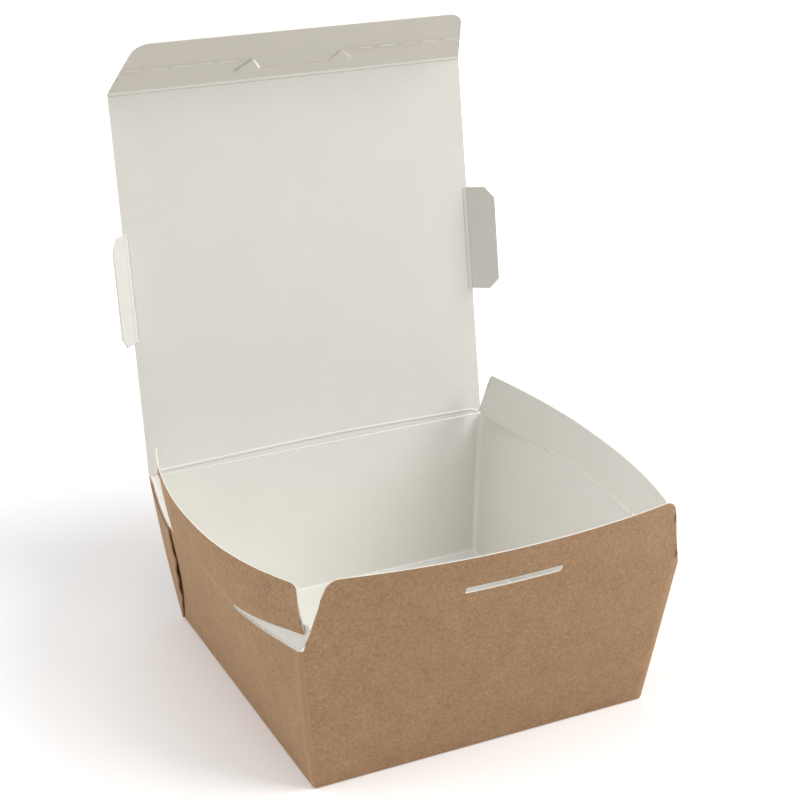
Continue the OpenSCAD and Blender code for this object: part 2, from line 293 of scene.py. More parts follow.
def white_material(colour):
    """Coated white board. Where its fold attribute is above 0 a painted highlight makes a crease pale,
    and below 0 a painted shade makes it dark.
    """
    s = Shader(bpy.data.materials.new("coated_face"))
    cloud = s.noise(scale=45, detail=3, vector=s.stretched((1, 1, 1)))
    grain = s.noise(scale=1500, detail=3, vector=s.stretched((1, 1, 0.6)))
    base = s.shades(cloud, colour, (0.3, 0.975), (0.7, 1.015))
    base = s.mix(0.35, base, s.shades(grain, colour, (0.3, 0.96), (0.7, 1.02)))
    # painted highlight where the fold attribute is above 0, painted shade where it is below 0
    crease = s.attribute("fold")
    pale = s.maths("MULTIPLY", s.maths("MAXIMUM", crease), 0.8)
    dark = s.maths("MULTIPLY", s.maths("MINIMUM", crease), -0.6)
    base = s.mix(pale, base, shade(colour, 1.14))
    base = s.mix(dark, base, shade(colour, 0.50))
    rough = s.shades(grain, (1, 1, 1), (0.2, 0.62), (0.8, 0.5))
    s.give(Base_Color=base, Roughness=rough, Specular_IOR_Level=0.4)
    s.bump(grain, strength=0.15, distance=0.00004)


def edge_material(colour):
    """The board's cut edges, which show its layers as a fine grain."""
    s = Shader(bpy.data.materials.new("cut_edge"))
    grain = s.noise(scale=3000, detail=3, vector=s.stretched((1, 1, 1)))
    s.give(Base_Color=s.shades(grain, colour, (0.3, 0.9), (0.7, 1.06)), Roughness=0.9)
    s.bump(grain, strength=0.3, distance=0.00004)


def board_materials(board):
    """The board's front, back and cut edge materials, made at the first call."""
    made = bpy.data.materials
    if "kraft_face" not in made:
        kraft_material(tuple(board.kraft))
        white_material(tuple(board.white))
        edge_material(tuple(board.cut_edge))
    return [made["kraft_face"], made["coated_face"], made["cut_edge"]]


# board panels

def dense(loop, step):
    """A closed loop with points added so that none of its sides is longer than step."""
    points = []
    for a, b in zip(loop, loop[1:] + loop[:1]):
        a, b = np.array(a, float), np.array(b, float)
        parts = max(1, math.ceil(np.linalg.norm(b - a) / step - 1e-6))
        points += [tuple(a + (b - a) * i / parts) for i in range(parts)]
    return points


def rounded(corners, steps=8):
    """A closed loop through corners (x, y, radius), each rounded by its radius."""
    loop = []
    for i, (x, y, radius) in enumerate(corners):
        here = np.array((x, y), float)
        if radius == 0:
            loop.append(tuple(here))
            continue
        before = np.array(corners[i - 1][:2], float) - here
        after = np.array(corners[(i + 1) % len(corners)][:2], float) - here
        before, after = before / np.linalg.norm(before), after / np.linalg.norm(after)
        half = math.acos(float(before @ after)) / 2
        centre = here + (before + after) / np.linalg.norm(before + after) * radius / math.sin(half)
        start = here + before * radius / math.tan(half) - centre
        turn = (math.pi - 2 * half) * (-1 if before[0] * after[1] - before[1] * after[0] > 0 else 1)
        for k in range(steps + 1):
            a = turn * k / steps
            loop.append((centre[0] + start[0] * math.cos(a) - start[1] * math.sin(a),
                         centre[1] + start[0] * math.sin(a) + start[1] * math.cos(a)))
    return loop


def inside(points, loop):
    """Which of the points lie inside the loop."""
    found = np.zeros(len(points), bool)
    for (ax, ay), (bx, by) in zip(loop, loop[1:] + loop[:1]):
        crosses = (ay > points[:, 1]) != (by > points[:, 1])
        with np.errstate(divide="ignore", invalid="ignore"):
            x = (bx - ax) * (points[:, 1] - ay) / (by - ay) + ax
        found ^= crosses & (points[:, 0] < x)
    return found


def near(points, loop, limit):
    """Which of the points lie closer to the loop's points than limit."""
    gap = points[:, None] - np.array(loop)
    return np.sqrt((gap ** 2).sum(2)).min(1) < limit


def panel(loops, step, lines=()):
    """Points and triangles of a flat panel with an outline, holes and extra rows of points, lines."""
    loops = [dense(loop, step) for loop in loops]
    from_loop, from_line, least_gap, least_area = step * 0.35, step * 0.45, 0.00012, 1e-12

    def within(spots):
        kept = inside(spots, loops[0])
        for hole in loops[1:]:
            kept &= ~inside(spots, hole)
        return kept

    low, high = np.min(loops[0], axis=0), np.max(loops[0], axis=0)
    xs, ys = (np.arange(low[k] + step / 2, high[k], step) for k in (0, 1))
    grid = np.array([(x, y) for x in xs for y in ys]).reshape(-1, 2)
    for loop in loops:
        grid = grid[~near(grid, loop, from_loop)]
    extra = [p for line in lines for p in line]
    if extra:
        grid = np.vstack([grid[~near(grid, extra, from_line)], np.array(extra)])
    keep = within(grid)
    for loop in loops:
        keep &= ~near(grid, loop, least_gap)
    points, edges = [], []
    for loop in loops:
        first = len(points)
        points += [tuple(p) for p in loop]
        edges += [(first + i, first + (i + 1) % len(loop)) for i in range(len(loop))]
    points += [tuple(p) for p in grid[keep]]
    made = delaunay_2d_cdt([Vector(p) for p in points], edges, [], 0, 1e-9)
    flat, faces = np.array([tuple(v) for v in made[0]]), np.array(made[2])
    a, b = flat[faces[:, 1]] - flat[faces[:, 0]], flat[faces[:, 2]] - flat[faces[:, 0]]
    area = np.abs(a[:, 0] * b[:, 1] - a[:, 1] * b[:, 0])
    return flat, faces[within(flat[faces].mean(1)) & (area > least_area)]


def grid_faces(rows, columns, closed=False):
    """Triangles of a grid of points in rows, each of which is a ring if closed."""
    faces = []
    for j in range(rows - 1):
        for i in range(columns if closed else columns - 1):
            a, b = j * columns + i, j * columns + (i + 1) % columns
            faces += [(a, b, b + columns), (a, b + columns, a + columns)]
    return faces


def vertex_normals(points, faces):
    """Unit normals at the points, each corner weighted by its angle, and the least cosine round each."""
    tiny, least_cosine = 1e-20, 0.7
    corners = points[faces]
    normals = np.cross(corners[:, 1] - corners[:, 0], corners[:, 2] - corners[:, 0])
    normals /= np.maximum(np.linalg.norm(normals, axis=1), tiny)[:, None]
    total = np.zeros_like(points)
    for k in range(3):
        a = corners[:, (k + 1) % 3] - corners[:, k]
        b = corners[:, (k + 2) % 3] - corners[:, k]
        cosine = (a * b).sum(1) / np.maximum(np.linalg.norm(a, axis=1) * np.linalg.norm(b, axis=1), tiny)
        np.add.at(total, faces[:, k], normals * np.arccos(np.clip(cosine, -1, 1))[:, None])
    total /= np.maximum(np.linalg.norm(total, axis=1), tiny)[:, None]
    least = np.ones(len(points))
    for k in range(3):
        np.minimum.at(least, faces[:, k], (total[faces[:, k]] * normals).sum(1))
    return total, np.clip(least, least_cosine, 1)


def linked(name, data):
    """A new object in the scene, at the origin."""
    made = bpy.data.objects.new(name, data)
    bpy.context.scene.collection.objects.link(made)
    return made


def mark_folds(mesh, values):
    """Writes the fold attribute, which the board's materials draw as paler and darker creases: painted
    highlights and painted shade.
    """
    fold = mesh.attributes.new("fold", "FLOAT", "POINT")
    fold.data.foreach_set("value", np.asarray(values, np.float32))


def board_piece(name, points, faces, board, folds=None, thickness=None, materials=(0, 1, 2)):
    """A piece of board round its middle surface of triangles, which face the kraft side.
    materials are those of the front, the back and the cut edge."""
    points, faces = np.asarray(points, float), np.asarray(faces, int)
    folds = np.zeros(len(points)) if folds is None else np.asarray(folds, float)
    used = np.unique(faces)
    place = np.full(len(points), -1)
    place[used] = np.arange(len(used))
    points, faces, folds = points[used], place[faces], folds[used]
    normals, least = vertex_normals(points, faces)
    offset = normals * ((thickness or board.thickness) / 2 / least)[:, None]
    count = len(points)
    edges = {edge: True for a, b, c in faces.tolist() for edge in ((a, b), (b, c), (c, a))}
    rim = [(a, b) for a, b in edges if (b, a) not in edges]
    made = [tuple(f) for f in faces.tolist()]
    made += [(c + count, b + count, a + count) for a, b, c in faces.tolist()]
    made += [(b, a, a + count, b + count) for a, b in rim]
    mesh = bpy.data.meshes.new(name)
    mesh.from_pydata([tuple(p) for p in np.vstack([points + offset, points - offset])], [], made)
    kinds = [materials[0]] * len(faces) + [materials[1]] * len(faces) + [materials[2]] * len(rim)
    mesh.polygons.foreach_set("material_index", kinds)
    mesh.polygons.foreach_set("use_smooth", [True] * len(made))
    mark_folds(mesh, np.concatenate([folds, folds]))
    for material in board_materials(board):
        mesh.materials.append(material)
    sharp = {tuple(sorted(edge)) for a, b in rim for edge in ((a, b), (a + count, b + count))}
    for edge in mesh.edges:
        edge.use_edge_sharp = tuple(sorted(edge.vertices)) in sharp
    return linked(name, mesh)


# the folded shape

def beside(a, b, offsets):
    """Rows of points along both sides of the line from a to b."""
    a, b = np.array(a, float), np.array(b, float)
    length = np.linalg.norm(b - a)
    shares = np.linspace(0.03, 0.97, max(2, int(length / 0.0007)))
    across = np.array((a[1] - b[1], b[0] - a[0])) / length
    return [[tuple(a + (b - a) * t + across * d) for t in shares] for o in offsets for d in (-o, o)]


def line_gap(flat, a, b):
    """Distance of each point from the line from a to b."""
    a, b = np.array(a, float), np.array(b, float)
    t = np.clip(((flat - a) @ (b - a)) / ((b - a) @ (b - a)), 0, 1)
    return np.linalg.norm(flat - a - t[:, None] * (b - a), axis=1)


def bump_line(distance, width):
    """1 on a crease and 0 away from it."""
    return np.exp(-(np.asarray(distance, float) / width) ** 2)


def share(value, start, end):
    """Share of the way from start to end, from 0 to 1."""
    return np.clip((np.asarray(value, float) - start) / (end - start), 0, 1)


def ends_in(y, front, back):
    """How far an edge along a side wall curves in at y. Each end is (start, end, depth, power)."""
    return sum(depth * share(y, start, end) ** power for start, end, depth, power in (front, back))


def side_bow(tray, side, y):
    """How far the left or the right side wall bows out at its rim, at place y along it."""
    if side < 0:
        return tray.left_bow * (1 - ends_in(y, (-0.034, -0.071, 1, 1.5), (0.028, 0.072, 1, 1.3)))
    return tray.right_bow * (1 - ends_in(y, (0.003, -0.0705, 1, 1.32), (0.003, 0.0725, 1, 1.4)))


def side_wall(tray, side, y, z):
    """Outer face of a side wall at place y and height z."""
    return tray.base / 2 + (tray.side_flare + side_bow(tray, side, y)) * z / tray.rim


def front_y(tray, x, z):
    """Outer face of the front wall at x and height z."""
    v = z / tray.rim
    above = np.maximum(0, z - tray.rim) / (tray.front_height - tray.rim)
    half = tray.base / 2 + tray.side_flare * np.minimum(v, 1)
    half = half + (tray.front_top / 2 - half) * above
    bow = tray.front_bow * v * (1 - np.clip(x / half, -1, 1) ** 2)
    return -(tray.base / 2 + tray.front_flare * v + bow)


def flap_x(side, y, h, tray, flap, thickness):
    """Distance of a side flap's middle surface from the box's middle plane, at y and h above the crease.
    Its crease curves in at the ends from the rim, and its top edge from the farthest point."""
    half = 0.060
    if side < 0:
        root = flap.axis - ends_in(y, (-0.036, -0.067, 0.0115, 1.65), (0.022, 0.064, 0.0094, 1.1))
        t = np.abs(y - 0.002) / half
        top = 0.0808 - np.where(y < 0.002, 0.0128 * np.minimum(t, 1.03) ** 2.5, 0.0112 * t ** 1.9)
    else:
        rim = tray.base / 2 + tray.side_flare + side_bow(tray, side, y) - thickness / 2
        root = rim - ends_in(y, (-0.035, -0.067, 0.0035, 1.5), (0.025, 0.067, 0.0040, 1.3))
        t = np.abs(y - 0.006) / half
        top = 0.0758 - np.where(y < 0.006, 0.0054 * t ** 2.5, 0.0071 * t ** 1.75)
    return root + (top - root) * h / flap.height


def tray_ring(tray, board, z, inset=0.0, part=0.0, back_top=0.0):
    """Middle surface of the four walls at one level, anticlockwise from the front left corner and moved
    in by inset. part is the part of the walls' height, as the back wall ends lower, at back_top."""
    low = board.thickness / 2
    back_z = low + part * (back_top - low) if part > 0 else z
    meet, slope = 0.064, 0.006

    def corner(sx, sy, level):
        flare = tray.back_flare if sy > 0 else tray.front_flare
        x = tray.base / 2 + tray.side_flare * level / tray.rim - low - inset
        y = tray.base / 2 + flare * level / tray.rim - low - inset
        return np.array((sx * x, sy * y))

    corners, rows, points = [(-1, -1), (1, -1), (1, 1), (-1, 1)], [], []
    for k, a in enumerate(corners):
        b = corners[(k + 1) % 4]
        level_a, level_b = (back_z if sy > 0 else z for sx, sy in (a, b))
        start, end = corner(*a, level_a), corner(*b, level_b)
        cut = tray.fold / np.linalg.norm(end - start)
        t = cut + (1 - 2 * cut) * np.linspace(0, 1, WALL_STEPS + 1)
        line = start + (end - start) * t[:, None]
        levels = level_a + (level_b - level_a) * t
        if k == 0:
            line[:, 1] = front_y(tray, line[:, 0], z) + low + inset
        elif k != 2:
            # a side wall keeps its level until just before the back corner
            side = 2 - k
            levels = z + (back_z - z) * np.clip((line[:, 1] - meet) / slope, 0, 1)
            line[:, 0] += side * side_bow(tray, side, line[:, 1]) * min(z / tray.rim, 1)
        rows.append((line, levels))
    for k, (line, levels) in enumerate(rows):
        following, after = rows[(k + 1) % 4]
        sx, sy = corners[(k + 1) % 4]
        tip = corner(sx, sy, back_z if sy > 0 else z)
        points += [(x, y, level) for (x, y), level in zip(line, levels)]
        for s in np.arange(1, CORNER_STEPS) / CORNER_STEPS:
            p = (1 - s) ** 2 * line[-1] + 2 * s * (1 - s) * tip + s ** 2 * following[0]
            points.append((*p, levels[-1] + (after[0] - levels[-1]) * s))
    return np.array(points)


class BOX_OT_tray(bpy.types.Operator):
    """Makes the tray: base, four walls with rounded folds and the tall front wall with its lock slot"""
    bl_idname = "takeaway_box.tray"
    bl_label = "Tray"

    def execute(self, context):
        scene = context.scene
        tray, board, lid = scene.box_tray, scene.box_board, scene.box_lid
        low, top = board.thickness / 2, tray.rim - tray.crease
        rise = tray.fold / (tray.rim - low)
        insets = (0.056, 0.042, 0.028, 0.014, 0.005, 0.0018)
        rings = [tray_ring(tray, board, low, inset) for inset in insets]
        first = len(rings)
        foot, edge = tray_ring(tray, board, low, tray.fold), tray_ring(tray, board, low)
        knee = tray_ring(tray, board, low + tray.fold, 0, rise, lid.hinge)
        rings += [(1 - s) ** 2 * foot + 2 * s * (1 - s) * edge + s ** 2 * knee
                  for s in (0, 0.25, 0.5, 0.75, 1)]
        rings += [tray_ring(tray, board, low + part * (top - low), 0, part, lid.hinge - 0.0003)
                  for part in np.linspace(rise, 1, WALL_ROWS + 1)[1:]]
        n = len(rings[0])
        points = [p for ring in rings for p in ring]
        # a painted highlight shows along the folds round the bottom, on the three rows inside its arc,
        # and above that at the corners
        corner = np.arange(n) % (WALL_STEPS + CORNER_STEPS) >= WALL_STEPS
        folds = [float(j > first and (j < first + 4 or here))
                 for j in range(len(rings)) for here in corner]
        faces = grid_faces(len(rings), n, closed=True)
        middle = len(points)
        points.append((0, 0, low))
        folds.append(0.0)
        faces += [(middle, (k + 1) % n, k) for k in range(n)]

        # the front wall above the rim, welded to the walls' top row
        rim_x = rings[-1][:WALL_STEPS + 1, 0]
        half, high, radius = tray.front_top / 2, tray.front_height, tray.front_corner
        above = rounded([(rim_x[-1], top, 0), (half, high, radius), (-half, high, radius),
                         (rim_x[0], top, 0)])
        slot_z, h, w = high - tray.slot_drop, tray.slot_height / 2, tray.slot_length / 2
        slot = rounded([(-w, slot_z - h, h * 0.3), (w, slot_z - h, h * 0.98),
                        (w, slot_z + h, h * 0.5), (-w, slot_z + h, h * 0.3)], steps=6)
        # this step is longer than the top row's own, so that no point is added to the row
        longer = 0.0034
        flat, triangles = panel([[(x, top) for x in rim_x] + above[1:-1],
                                 [(x + tray.slot_x, z) for x, z in slot]], max(board.step, longer))
        index = []
        for x, z in flat:
            if abs(z - top) < 1e-6:
                index.append((len(rings) - 1) * n + int(np.abs(rim_x - x).argmin()))
                continue
            index.append(len(points))
            lean = tray.front_lean * (z - top) / (high - top)
            points.append((x + lean, float(front_y(tray, x, z)) + low, z))
            folds.append(0.0)
        upper = [tuple(index[i] for i in f) for f in triangles]
        faces += [f for f in upper if len(set(f)) == 3]
        piece = board_piece("tray_board", points, faces, board, folds)
        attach(piece, "tray")
        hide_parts("tray")
        return {"FINISHED"}


def sheet(rows, columns, place, side, turned):
    """Points and triangles of a grid over shares s up and t along, put in place on a side by a function.
    turned swaps the faces' two sides."""
    s, t = np.meshgrid(np.linspace(0, 1, rows), np.linspace(0, 1, columns), indexing="ij")
    x, y, z = place(s.ravel(), t.ravel())
    faces = np.array(grid_faces(rows, columns))
    return np.stack([side * x, y, z], 1), faces[:, ::-1] if turned else faces


class BOX_OT_webs(bpy.types.Operator):
    """Makes the folded corner webs: the front two inside the side walls, the back two outside them"""
    bl_idname = "takeaway_box.webs"
    bl_label = "Corner webs"

    def execute(self, context):
        scene = context.scene
        tray, board, flap = scene.box_tray, scene.box_board, scene.box_flap
        double, half, foot = board.thickness * 1.2, tray.base / 2, board.thickness * 1.3
        # gap between a front web and the front wall, and drops of the webs' top edges below the rim
        clear, front_drop, top_drop, back_drop = 0.0016, 0.0012, 0.0010, 0.0020
        # foot of a back web, its gap to the back corner, and the length of a front web's raised end
        back_foot, back_gap, raised = 0.0008, 0.0010, 0.034
        # how much of a board's thickness the webs stand off the walls, and a raised end's gap to its flap
        front_off, back_off, raised_off, flap_gap = 1.04, 0.06, 1.9, 0.0008
        for side, hand in ((-1, "left"), (1, "right")):
            def front(s, t):
                z = foot + s * (tray.rim - front_drop - foot)
                y = -(half + tray.front_flare * z / tray.rim) + clear + t * tray.web * z / tray.rim
                return side_wall(tray, side, y, z) - board.thickness * front_off - double / 2, y, z

            def back(s, t):
                z = back_foot + s * (tray.rim - back_drop)
                v = z / tray.rim
                y = half + tray.back_flare * v - back_gap - t * (tray.web - back_gap) * v
                ripple = 0.6 + 0.4 * np.sin(s * 9 + side) * np.sin(s * 21)
                lift = tray.web_lift * t ** 3 * np.sin(math.pi * np.clip(s, 0, 1)) ** 0.7 * ripple
                x = side_wall(tray, side, y, z) + board.thickness * back_off + double / 2 + lift
                return x, y, z

            def rise(s, t):
                """The front web's top, behind the flap's front slot and clear of the flap."""
                y = -(half + tray.front_flare) + clear + t * raised
                top = front_drop * (1 - t ** 6)
                top = top + tray.web_rise * (1 - t) ** 0.8 * np.clip(t / 0.08 + 0.55, 0, 1)
                z = tray.rim - top_drop + s * (top_drop + top)
                x = side_wall(tray, side, y, np.minimum(z, tray.rim))
                x = x - board.thickness * raised_off
                above = np.maximum(z - tray.rim, 0)
                behind = flap_x(side, y, above, tray, flap, board.thickness) - flap_gap
                return x + np.minimum(behind - x, 0) * np.minimum(s * 1.6, 1), y, z

            for name, place, rows, columns, kind, turn in (
                    ("front", front, 24, 18, 1, side < 0), ("back", back, 60, 20, 0, side > 0)):
                points, faces = sheet(rows, columns, place, side, turn)
                piece = board_piece(hand + "_" + name + "_web", points, faces, board, thickness=double,
                                    materials=(kind, kind, kind))
                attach(piece, "tray")
            points, faces = sheet(8, 26, rise, side, side < 0)
            piece = board_piece(hand + "_web_top", points, faces, board, materials=(1, 1, 2))
            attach(piece, "tray")
            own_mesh(piece)
        return {"FINISHED"}


class BOX_OT_side_flaps(bpy.types.Operator):
    """Makes the two flaps on the rims of the side walls, curved as the board stands when they are open"""
    bl_idname = "takeaway_box.side_flaps"
    bl_label = "Side flaps"

    def execute(self, context):
        scene = context.scene
        tray, board, flap = scene.box_tray, scene.box_board, scene.box_flap
        front, back = flap.root_y - flap.root / 2, flap.root_y + flap.root / 2
        wide, top = flap.length / 2, flap.top / 2
        # climb of the crease past the front slot, and the flap's height once it has bent
        foot, climb, upright = -tray.crease, 0.13, 0.985
        outline = rounded([(front, foot, 0), (back, foot, 0), (back + 0.0003, foot + 0.0001, 0),
                           (back + 0.026, foot + 0.0004, 0.004), (wide, flap.slot_open, 0.0005),
                           (top, flap.height, flap.corner), (-top, flap.height, 0.0010),
                           (-wide, flap.slot_front, 0.0004), (front - 0.0006, 0.0009, 0.0003)])
        rows = [[(y, h + max(front - y, 0) * climb) for y in np.arange(front - 0.016, back, 0.0012)]
                for h in (-0.0002, 0.0001, 0.0004)]
        flat, triangles = panel([outline], board.step, rows)
        y, h = flat[:, 0], flat[:, 1]
        # the crease's painted highlight goes on across the flap above the front slot
        crease = np.where(y < front, (front - y) * climb, 0)
        folds = bump_line(h - crease - 0.0001, 0.0003) * (1 - share(y, -0.046, -0.060)) * (y < back)
        for side, name, slot in ((-1, "left_flap", "kraft_board"), (1, "right_flap", "coated_board")):
            x = flap_x(side, y, h, tray, flap, board.thickness)
            droop = 0.20 * share(y, 0.030, 0.063) ** 1.3 if side < 0 else 0
            points = np.stack([side * x, y, tray.rim + h * upright * (1 - droop)], 1)
            faces = triangles if side > 0 else triangles[:, ::-1]
            piece = board_piece(name + "_board", points, faces, board, folds)
            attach(piece, name)
            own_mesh(piece)
            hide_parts(name)
        return {"FINISHED"}


# the lid, its front flap and its ears

def tilted(angle):
    """Directions along a panel that leans back by an angle, and out of its inner face."""
    c, s = math.cos(angle), math.sin(angle)
    return np.array((0, c, s)), np.array((0, -s, c))


def lid_axes(lid):
    """Start of the lid at its hinge, and its direction and inner face's direction."""
    tray = bpy.context.scene.box_tray
    start = np.array((0, tray.base / 2 + tray.back_flare * lid.hinge / tray.rim, lid.hinge))
    return start, *tilted(lid.angle)


def on_lid(lid, x, up, out):
    """Points at x, at distances up the lid from its hinge and out of its inner face."""
    start, along, inner = lid_axes(lid)
    points = start + np.outer(up, along) + np.outer(out, inner)
    points[:, 0] = x
    return points


def bent(distance, creases):
    """Places along and up of points at a distance along a strip that bends in small arcs.
    creases are (middle, angle, length of its arc), in order."""
    parts, last, far = [], 0.0, 1.0
    for middle, turn, length in creases:
        parts += [(last, middle - length / 2, 0.0), (middle - length / 2, middle + length / 2, turn)]
        last = middle + length / 2
    places, place, angle = np.zeros((2, len(distance))), np.zeros((2, 1)), 0.0
    for a, b, turn in parts + [(last, far, 0.0)]:
        here = (distance >= a) & (distance <= b + 1e-12) if a > 0 else distance <= b
        # the part's own end is the last of the runs
        run = np.append(distance, b) - a
        if turn == 0:
            reached = place + run * np.array([[math.cos(angle)], [math.sin(angle)]])
        else:
            radius = (b - a) / turn
            lean = angle + run / radius
            swing = [np.sin(lean) - math.sin(angle), math.cos(angle) - np.cos(lean)]
            reached = place + radius * np.array(swing)
        places = np.where(here, reached[:, :-1], places)
        place = reached[:, -1:]
        angle += turn
    return places


def hinge_line(x):
    """Distance up the lid of the bead that its crease presses into the white face."""
    top, sag, middle, reach = 0.0030, 0.0013, 0.006, 0.068
    arch = top - sag * (np.abs(x - middle) / reach) ** 1.2
    return arch * share(np.abs(x), 0.0697, 0.0660)


def new_tree(name, **sockets):
    """A Geometry Nodes tree: the tree, its named inputs, and calls to add and to join nodes."""
    tree = bpy.data.node_groups.new(name, "GeometryNodeTree")
    for key, kind in sockets.items():
        tree.interface.new_socket(key, in_out="INPUT", socket_type="NodeSocket" + kind)
    tree.interface.new_socket("Geometry", in_out="OUTPUT", socket_type="NodeSocketGeometry")

    def join(*pairs):
        for output, socket in pairs:
            tree.links.new(output, socket)

    return tree, tree.nodes.new("NodeGroupInput").outputs, tree.nodes.new, join


def finished(made, geometry):
    """Ends a tree from new_tree in shade smooth, Realize Instances and Set Material."""
    tree, given, add, join = made
    smooth, real = add("GeometryNodeSetShadeSmooth"), add("GeometryNodeRealizeInstances")
    paint, out = add("GeometryNodeSetMaterial"), add("NodeGroupOutput")
    join((geometry, smooth.inputs["Geometry"]), (smooth.outputs[0], real.inputs[0]),
         (real.outputs[0], paint.inputs["Geometry"]), (given["Material"], paint.inputs["Material"]),
         (paint.outputs[0], out.inputs[0]))
    return tree


def bead_tree():
    """A low rounded bead that follows a path on the board."""
    made = new_tree("crease_bead", Path="Geometry", Width="Float", Height="Float", Facing="Vector",
                    Material="Material")
    _, given, add, join = made
    curve, normal = add("GeometryNodeMeshToCurve"), add("GeometryNodeSetCurveNormal")
    ring, size = add("GeometryNodeCurvePrimitiveCircle"), add("ShaderNodeCombineXYZ")
    oval, sweep = add("GeometryNodeTransform"), add("GeometryNodeCurveToMesh")
    normal.mode = "FREE"
    ring.inputs["Resolution"].default_value = 12
    ring.inputs["Radius"].default_value = 0.5
    size.inputs[2].default_value = 1
    sweep.inputs["Fill Caps"].default_value = True
    join((given["Path"], curve.inputs["Mesh"]), (curve.outputs[0], normal.inputs["Curve"]),
         (given["Facing"], normal.inputs["Normal"]), (given["Height"], size.inputs[0]),
         (given["Width"], size.inputs[1]), (ring.outputs["Curve"], oval.inputs["Geometry"]),
         (size.outputs[0], oval.inputs["Scale"]), (normal.outputs[0], sweep.inputs["Curve"]),
         (oval.outputs[0], sweep.inputs["Profile Curve"]))
    return finished(made, sweep.outputs[0])


def dash_tree():
    """Low dashes of uneven length that repeat along a straight path, as a half cut crease shows them."""
    made = new_tree("crease_dashes", Path="Geometry", Pitch="Float", Length="Float", Width="Float",
                    Height="Float", Turn="Vector", Seed="Int", Material="Material")
    _, given, add, join = made
    curve, spots = add("GeometryNodeMeshToCurve"), add("GeometryNodeCurveToPoints")
    dash, flat = add("GeometryNodeMeshUVSphere"), add("GeometryNodeTransform")
    size, scale = add("ShaderNodeCombineXYZ"), add("ShaderNodeCombineXYZ")
    chance, many = add("FunctionNodeRandomValue"), add("GeometryNodeInstanceOnPoints")
    spots.mode = "LENGTH"
    for name, value in (("Segments", 10), ("Rings", 6), ("Radius", 0.5)):
        dash.inputs[name].default_value = value
    # the least and the greatest share of a dash's length
    chance.inputs[2].default_value, chance.inputs[3].default_value = 0.62, 1.12
    scale.inputs[1].default_value = scale.inputs[2].default_value = 1
    join(*((given[name], size.inputs[k]) for k, name in enumerate(("Length", "Width", "Height"))))
    join((given["Path"], curve.inputs["Mesh"]), (curve.outputs[0], spots.inputs["Curve"]),
         (given["Pitch"], spots.inputs["Length"]), (dash.outputs["Mesh"], flat.inputs["Geometry"]),
         (size.outputs[0], flat.inputs["Scale"]), (given["Seed"], chance.inputs["Seed"]),
         (chance.outputs[1], scale.inputs[0]), (spots.outputs["Points"], many.inputs["Points"]),
         (flat.outputs[0], many.inputs["Instance"]), (given["Turn"], many.inputs["Rotation"]),
         (scale.outputs[0], many.inputs["Scale"]))
    return finished(made, many.outputs[0])


def grown(name, points, tree, tone, **values):
    """A plain mesh piece that a tree grows along a path. tone is its share of the pale crease colour."""
    values["Material"] = bpy.data.materials["coated_face"]
    path = bpy.data.meshes.new(name + "_path")
    edges = [(i, i + 1) for i in range(len(points) - 1)]
    path.from_pydata([tuple(float(c) for c in p) for p in points], edges, [])
    guide = linked(name + "_path", path)
    modifier = guide.modifiers.new("grow", "NODES")
    modifier.node_group = tree
    for item in tree.interface.items_tree:
        if item.in_out == "INPUT" and item.name in values:
            modifier[item.identifier] = values[item.name]
    shaped = guide.evaluated_get(bpy.context.evaluated_depsgraph_get())
    mesh = bpy.data.meshes.new_from_object(shaped)
    guide.modifiers.remove(modifier)
    bpy.data.objects.remove(guide)
    if not mesh.polygons:
        raise RuntimeError(name + " has no faces")
    mesh.name = name
    mark_folds(mesh, [tone] * len(mesh.vertices))
    return linked(name, mesh)


class BOX_OT_lid(bpy.types.Operator):
    """Makes the lid panel and the raised bead along its hinge"""
    bl_idname = "takeaway_box.lid"
    bl_label = "Lid"

    def execute(self, context):
        board, lid = context.scene.box_board, context.scene.box_lid
        half, ear, foot, end = lid.width / 2, lid.ear_inset, -0.00015, lid.length - STRIP_LEAD
        a, b = lid.ear_from, lid.ear_from + lid.ear_length
        outline = [(-half, foot), (half, foot), (half, a), (half - ear, a), (half - ear, b), (half, b),
                   (half, end), (-half, end), (-half, b), (-half + ear, b), (-half + ear, a), (-half, a)]
        columns = np.arange(-ROW_REACH, ROW_REACH + 0.0001, 0.0015)
        rows = [[(x, float(hinge_line(x)) + d) for x in columns]
                for d in np.arange(-0.0012, 0.0013, ROW_STEP)]
        rows += [[(x, end - d) for x in columns] for d in (0.0002, 0.0004)]
        flat, triangles = panel([outline], board.step * 1.2, rows)
        points = on_lid(lid, flat[:, 0], flat[:, 1], 0 * flat[:, 1])
        # a shadow line below the bead
        folds = -0.8 * bump_line(flat[:, 1] - hinge_line(flat[:, 0]) + 0.00065, 0.00022)
        piece = board_piece("lid_board", points, triangles[:, ::-1], board, folds)
        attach(piece, "lid")
        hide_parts("lid")

        path = np.linspace(-half + 0.0035, half - 0.0012, 80)
        points = on_lid(lid, path, hinge_line(path), np.full(len(path), board.thickness / 2))
        # the bead's pale colour, fold value 0.7, is a painted highlight
        bead = grown("hinge_bead", points, bead_tree(), 0.7, Width=0.0010, Height=0.00034,
                     Facing=tuple(tilted(lid.angle)[1]))
        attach(bead, "lid")
        return {"FINISHED"}


def strip_points(lid, flat):
    """Middle surface of the front flap at x and distance v from the fold; v is negative before it."""
    turn, off, arc = lid.strip_bend / 2, 0.0008, 0.0007
    u, w = bent(flat[:, 1] + STRIP_LEAD, [(STRIP_LEAD - off, turn, arc), (STRIP_LEAD + off, turn, arc)])
    return on_lid(lid, flat[:, 0], lid.length - STRIP_LEAD + u, w)


def flap_half(lid, v):
    """Half the width of the front flap at a distance from its fold."""
    return lid.width / 2 - lid.taper * max(v, 0) / (lid.strip + lid.tuck)


def tongue_loop(lid, grow):
    """The tongue's sides and rounded end, moved out by grow."""
    wide, narrow = lid.tongue / 2 + grow, lid.tongue / 2 - lid.tongue_taper + grow
    v, radius = lid.strip, 0.0015
    end = v - lid.tongue_depth - grow
    return rounded([(-wide, v + grow, 0), (-narrow, end, radius), (narrow, end, radius),
                    (wide, v + grow, 0)])


